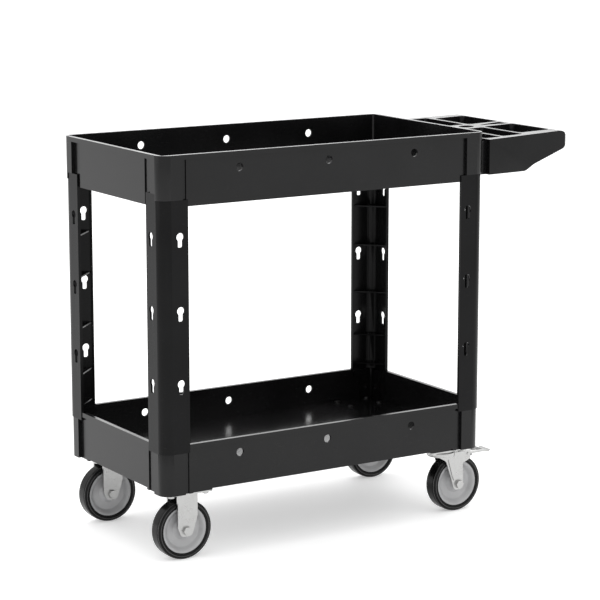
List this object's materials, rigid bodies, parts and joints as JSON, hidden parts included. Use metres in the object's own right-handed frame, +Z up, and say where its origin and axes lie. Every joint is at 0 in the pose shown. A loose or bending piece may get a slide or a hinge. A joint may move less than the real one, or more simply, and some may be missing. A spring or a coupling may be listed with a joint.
{
  "type": "service trolley",
  "caption": "Two-shelf moulded plastic service trolley with deep tub shelves, angle legs with keyhole slots, a moulded bin handle, fixed casters and braked swivel casters.",
  "frame": {"origin": "centre of the bounding box's bottom face, on the floor", "axes": "+X lengthwise towards the handle and the swivel casters, +Y across, +Z up"},
  "size_m": [1.03, 0.43, 0.84],
  "materials": {
    "black_plastic": "fine moulded texture",
    "zinc_steel": "bright zinc plate",
    "grey_plastic": "satin",
    "bearing_plastic": "satin",
    "black_rubber": "matt"
  },
  "bodies": {
    "frame": {"upper_tray": "black_plastic", "lower_tray": "black_plastic", "handle": "black_plastic", "leg_near_front": "black_plastic", "leg_near_handle": "black_plastic", "leg_far_handle": "black_plastic", "leg_far_front": "black_plastic", "leg_screws": "zinc_steel", "handle_screws": "zinc_steel", "caster_bolts": "zinc_steel", "caster_nuts": "zinc_steel", "fork_rigid_near": "zinc_steel", "axle_rigid_near": "zinc_steel", "nut_rigid_near": "zinc_steel", "fork_rigid_far": "zinc_steel", "axle_rigid_far": "zinc_steel", "nut_rigid_far": "zinc_steel", "plate_swivel_near": "zinc_steel", "race_swivel_near": "zinc_steel", "kingpin_swivel_near": "zinc_steel", "plate_swivel_far": "zinc_steel", "race_swivel_far": "zinc_steel", "kingpin_swivel_far": "zinc_steel"},
    "caster_near": {"fork_swivel_near": "zinc_steel", "axle_swivel_near": "zinc_steel", "nut_swivel_near": "zinc_steel", "pedal_pin_swivel_near": "zinc_steel"},
    "caster_far": {"fork_swivel_far": "zinc_steel", "axle_swivel_far": "zinc_steel", "nut_swivel_far": "zinc_steel", "pedal_pin_swivel_far": "zinc_steel"},
    "wheel_rigid_near": {"core_rigid_near": "grey_plastic", "tyre_rigid_near": "black_rubber", "bush_rigid_near": "bearing_plastic"},
    "wheel_rigid_far": {"core_rigid_far": "grey_plastic", "tyre_rigid_far": "black_rubber", "bush_rigid_far": "bearing_plastic"},
    "wheel_swivel_near": {"core_swivel_near": "grey_plastic", "tyre_swivel_near": "black_rubber", "bush_swivel_near": "bearing_plastic"},
    "wheel_swivel_far": {"core_swivel_far": "grey_plastic", "tyre_swivel_far": "black_rubber", "bush_swivel_far": "bearing_plastic"},
    "brake_near": {"pedal_swivel_near": "zinc_steel", "shoe_swivel_near": "black_rubber"},
    "brake_far": {"pedal_swivel_far": "zinc_steel", "shoe_swivel_far": "black_rubber"}
  },
  "joints": [
    {"name": "swivel_near", "type": "hinge", "parent": "frame", "child": "caster_near", "pos_m": [0.205, -0.165, 0.1], "axis": [0, 0, 1], "continuous": true},
    {"name": "swivel_far", "type": "hinge", "parent": "frame", "child": "caster_far", "pos_m": [0.205, 0.165, 0.1], "axis": [0, 0, 1], "continuous": true},
    {"name": "roll_rigid_near", "type": "hinge", "parent": "frame", "child": "wheel_rigid_near", "pos_m": [-0.447, -0.165, 0.0625], "axis": [0, 1, 0], "continuous": true},
    {"name": "roll_rigid_far", "type": "hinge", "parent": "frame", "child": "wheel_rigid_far", "pos_m": [-0.447, 0.165, 0.0625], "axis": [0, 1, 0], "continuous": true},
    {"name": "roll_swivel_near", "type": "hinge", "parent": "caster_near", "child": "wheel_swivel_near", "pos_m": [0.238, -0.165, 0.0625], "axis": [0, 1, 0], "continuous": true},
    {"name": "roll_swivel_far", "type": "hinge", "parent": "caster_far", "child": "wheel_swivel_far", "pos_m": [0.238, 0.165, 0.0625], "axis": [0, 1, 0], "continuous": true},
    {"name": "brake_near", "type": "hinge", "parent": "caster_near", "child": "brake_near", "pos_m": [0.262, -0.165, 0.128], "axis": [0, 1, 0], "range_deg": [0, 12]},
    {"name": "brake_far", "type": "hinge", "parent": "caster_far", "child": "brake_far", "pos_m": [0.262, 0.165, 0.128], "axis": [0, 1, 0], "range_deg": [0, 12]}
  ]
}
